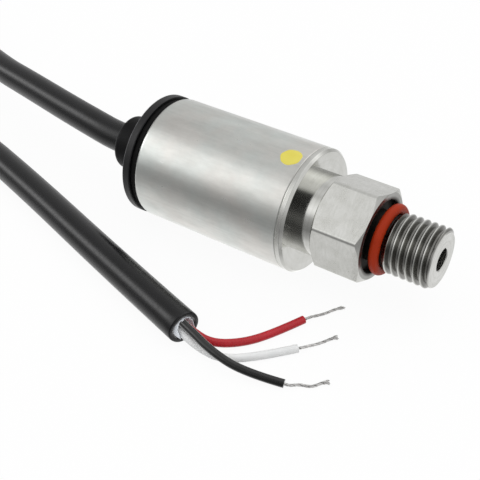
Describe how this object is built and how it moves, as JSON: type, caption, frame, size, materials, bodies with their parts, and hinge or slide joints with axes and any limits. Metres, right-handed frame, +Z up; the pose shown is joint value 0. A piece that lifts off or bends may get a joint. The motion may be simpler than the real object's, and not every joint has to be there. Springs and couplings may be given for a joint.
{
  "type": "pressure transmitter",
  "caption": "Cabled pressure transmitter: stainless tubular housing, hexagon port with red seal ring and threaded stub, black rear cap and a free cable with stripped cores.",
  "frame": {"origin": "on the floor plane, under the middle of the body's length, the free cable left out", "axes": "+X along the body's axis towards the threaded port, +Z up, the body lying on its side"},
  "size_m": [0.1957, 0.066, 0.0234],
  "materials": {
    "port_steel": "satin",
    "tube_steel": "satin",
    "red_elastomer": "satin",
    "yellow_paint": "gloss",
    "cap_plastic": "matte",
    "black_elastomer": "matte",
    "boss_elastomer": "matte",
    "jacket": "satin",
    "brass": "satin",
    "silicon": "gloss",
    "board_laminate": "satin",
    "white_plastic": "matte",
    "chip_plastic": "matte",
    "capacitor_body": "matte",
    "solder": "satin",
    "white_insulation": "satin",
    "black_insulation": "satin",
    "red_insulation": "satin",
    "wrap_film": "satin",
    "tinned_copper": "satin"
  },
  "bodies": {
    "root": {"pressure_port": "port_steel", "port_o_ring": "red_elastomer", "housing_tube": "tube_steel", "yellow_dot": "yellow_paint", "rear_cap": "cap_plastic", "cap_seal_ring": "black_elastomer", "cable_grommet": "boss_elastomer", "cable_stub": "jacket", "cable_ferrule": "brass", "strain_gauges": "silicon", "gauge_board": "board_laminate", "board_spacer": "white_plastic", "board_posts": "brass", "circuit_board": "board_laminate", "signal_chip": "chip_plastic", "board_capacitors": "capacitor_body", "board_resistors": "chip_plastic", "solder_joints": "solder", "inner_core_white": "white_insulation", "inner_core_black": "black_insulation", "inner_core_red": "red_insulation", "cable_coil": "jacket", "cable_lead": "jacket", "cable_tail": "jacket", "core_wrap": "wrap_film", "black_core": "black_insulation", "white_core": "white_insulation", "red_core": "red_insulation", "black_strand": "tinned_copper", "white_strand": "tinned_copper", "red_strand": "tinned_copper"}
  },
  "joints": []
}
